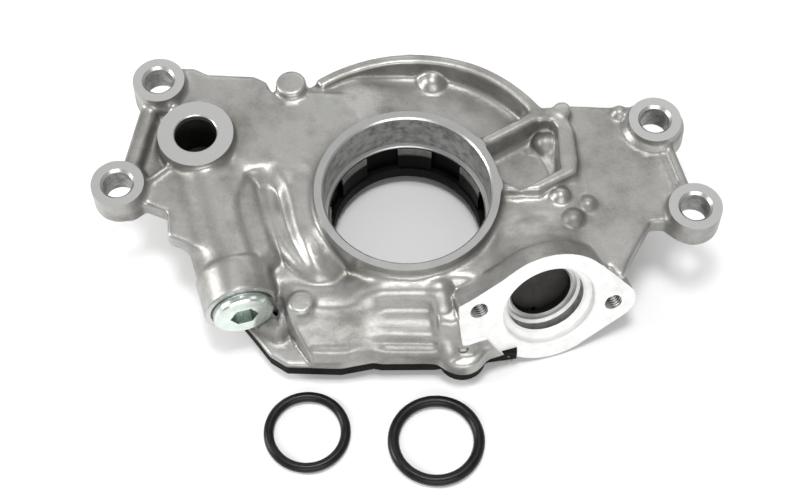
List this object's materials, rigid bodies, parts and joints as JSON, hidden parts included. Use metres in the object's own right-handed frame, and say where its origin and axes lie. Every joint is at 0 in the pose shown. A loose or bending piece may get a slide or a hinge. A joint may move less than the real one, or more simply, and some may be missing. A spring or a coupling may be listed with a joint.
{
  "type": "engine oil pump",
  "caption": "Crank-driven gerotor oil pump in a die-cast housing with block ears, relief valve and plug, bolted cover, tilted pickup flange and two pickup-tube O-rings.",
  "frame": {"origin": "on the crank axis, in the plane of the ears' faces that bolts to the engine block", "axes": "+Z along the crank axis towards the engine block, +Y up the engine, +X towards the side of the pickup flange"},
  "size_m": [0.193, 0.1381, 0.0391],
  "materials": {
    "cast_aluminium": "die cast, with machined faces",
    "cover_steel": "dark oiled plate",
    "sintered_steel": "sintered and ground",
    "plunger_steel": "hardened and ground",
    "spring_steel": "drawn wire",
    "zinc_steel": "zinc plated, slightly green",
    "screw_steel": "dark plated",
    "oring_rubber": "smooth and glossy"
  },
  "bodies": {
    "housing": {"housing": "cast_aluminium", "cover_plate": "cover_steel", "relief_plug": "zinc_steel", "relief_spring": "spring_steel", "cover_screw_1": "screw_steel", "cover_screw_2": "screw_steel", "cover_screw_3": "screw_steel", "cover_screw_4": "screw_steel", "cover_screw_5": "screw_steel", "cover_screw_6": "screw_steel", "cover_screw_7": "screw_steel", "pickup_oring_small": "oring_rubber", "pickup_oring_large": "oring_rubber"},
    "inner_rotor": {"inner_rotor": "sintered_steel"},
    "outer_rotor": {"outer_rotor": "sintered_steel"},
    "relief_plunger": {"relief_plunger": "plunger_steel"}
  },
  "joints": [
    {"name": "inner_rotor_spin", "type": "hinge", "parent": "housing", "child": "inner_rotor", "pos_m": [0, 0, -0.0205], "axis": [0, 0, 1], "continuous": true},
    {"name": "outer_rotor_spin", "type": "hinge", "parent": "housing", "child": "outer_rotor", "pos_m": [0, 0.0024, -0.0205], "axis": [0, 0, 1], "continuous": true},
    {"name": "relief_plunger_slide", "type": "slide", "parent": "housing", "child": "relief_plunger", "axis": [0.274, -0.9617, 0], "range_m": [0, 0.0115], "stiffness_N_per_m": 1500, "springref_m": -0.006, "deforming": ["relief_spring"]}
  ],
  "couplings": [
    {"joint": "outer_rotor_spin", "follows": "inner_rotor_spin", "ratio": 0.90909}
  ]
}
